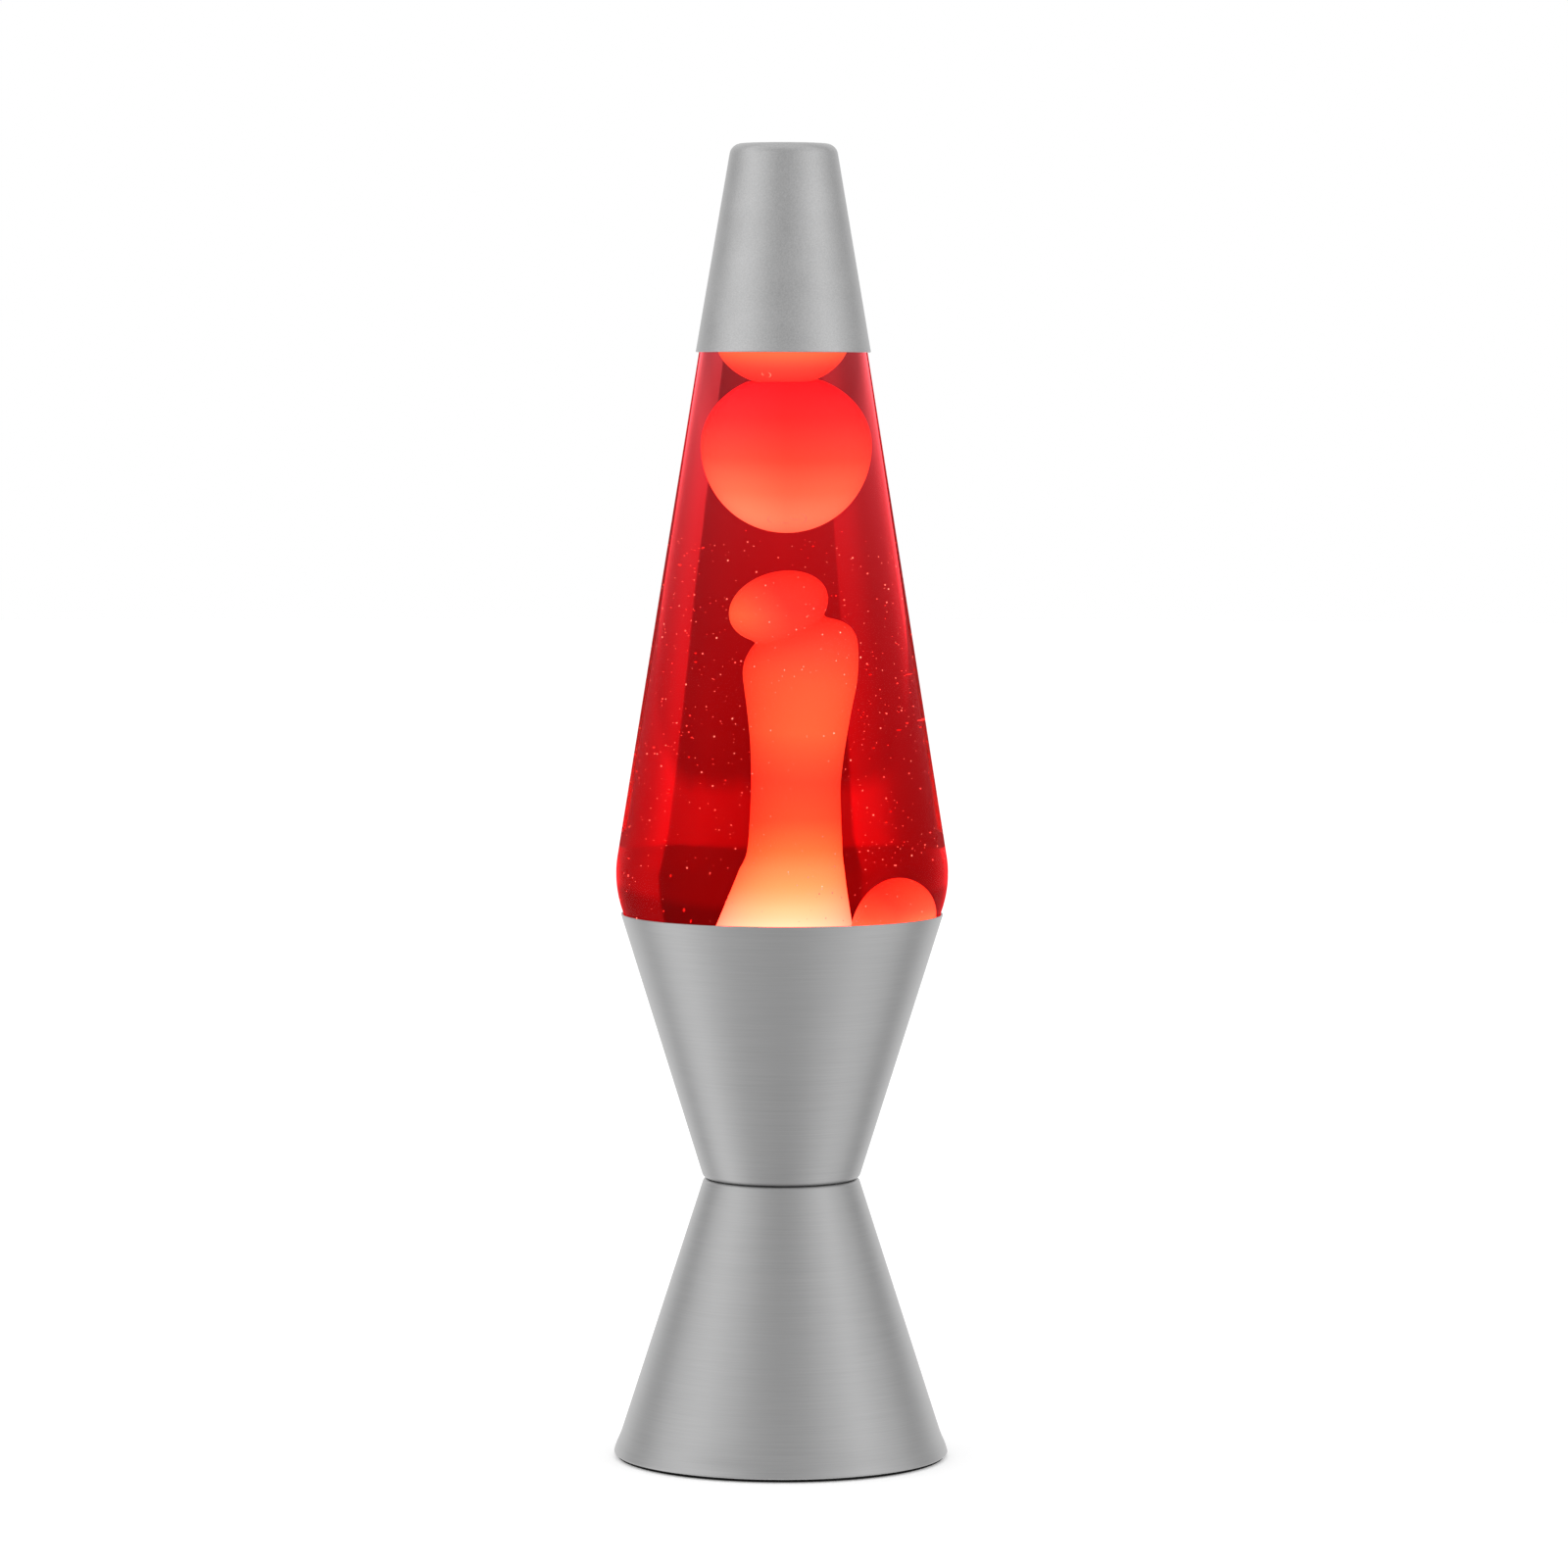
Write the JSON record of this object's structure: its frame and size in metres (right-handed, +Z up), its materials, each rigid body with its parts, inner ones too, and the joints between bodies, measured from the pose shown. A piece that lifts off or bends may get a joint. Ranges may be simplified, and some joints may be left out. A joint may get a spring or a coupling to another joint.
{
  "type": "lava lamp",
  "caption": "Table lava lamp: tapered glass globe of tinted liquid and rising wax in a spun metal hourglass base, warmed by a screw-in bulb, under a lift-off metal cap.",
  "frame": {"origin": "centre of the underside of the foot ring, on the lamp's axis", "axes": "+Z up the lamp's axis; the cord bushing is at the back, +Y; the view in the picture is from -Y"},
  "size_m": [0.0939, 0.0938, 0.368],
  "materials": {
    "spun_aluminium": "fine circumferential brushing, clear",
    "cap_paint": "satin silver with fine metallic grain",
    "black_rubber": "matt",
    "black_plastic": "fine matt moulding grain",
    "phenolic": "dark brown moulded, low gloss",
    "fibre": "pressed fibre",
    "zinc_steel": "zinc plated",
    "brass": "drawn brass",
    "nickel": "nickel plated, bright",
    "solder": "dull solder",
    "insulator_glass": "black vitrite",
    "bulb_clear_glass": "clear",
    "tungsten": "glowing wire",
    "lead_wire": "plain wire",
    "globe_clear_glass": "clear, polished",
    "red_liquid": "clear red-dyed liquid",
    "wax": "molten, smooth, glowing from the lamp below",
    "coil_wire": "bright spring wire",
    "crown_steel": "lacquered tinplate",
    "liner_plastic": "soft sealing liner"
  },
  "bodies": {
    "base": {"upper_cone": "spun_aluminium", "lower_cone": "spun_aluminium", "cord_bushing": "black_plastic", "foot_ring": "black_rubber", "bottom_cover": "black_plastic", "socket_housing": "phenolic", "fibre_washer": "fibre", "lock_washer": "zinc_steel", "ring_nut": "zinc_steel", "socket_shell": "brass", "centre_contact": "brass", "contact_rivet": "brass", "terminal_screws": "brass"},
    "bulb_core": {"bulb_insulator": "insulator_glass", "bulb_tip": "solder"},
    "bulb": {"bulb_glass": "bulb_clear_glass", "bulb_screw_shell": "nickel", "bulb_stem": "bulb_clear_glass", "bulb_leads": "lead_wire", "filament": "tungsten"},
    "globe": {"globe_glass": "globe_clear_glass", "liquid": "red_liquid", "wax_column": "wax", "wax_top_blob": "wax", "wire_coil": "coil_wire", "crown_cap": "crown_steel", "crown_liner": "liner_plastic"},
    "floating_wax": {"wax_ball": "wax"},
    "cap": {"cap_shell": "cap_paint"}
  },
  "joints": [
    {"name": "globe_lift", "type": "slide", "parent": "base", "child": "globe", "axis": [0, 0, 1], "range_m": [0, 0.1]},
    {"name": "cap_lift", "type": "slide", "parent": "globe", "child": "cap", "axis": [0, 0, 1], "range_m": [0, 0.07]},
    {"name": "wax_drift", "type": "slide", "parent": "globe", "child": "floating_wax", "axis": [0, 0, 1], "range_m": [-0.009, 0], "deforming": ["liquid"]},
    {"name": "bulb_rise", "type": "slide", "parent": "base", "child": "bulb_core", "axis": [0, 0, 1], "range_m": [0, 0.00847]},
    {"name": "bulb_turn", "type": "hinge", "parent": "bulb_core", "child": "bulb", "pos_m": [0, 0, 0.08], "axis": [0, 0, 1], "range_deg": [0, 1080.1]}
  ],
  "couplings": [
    {"joint": "bulb_turn", "follows": "bulb_rise", "rad_per_m": 2226.5}
  ]
}
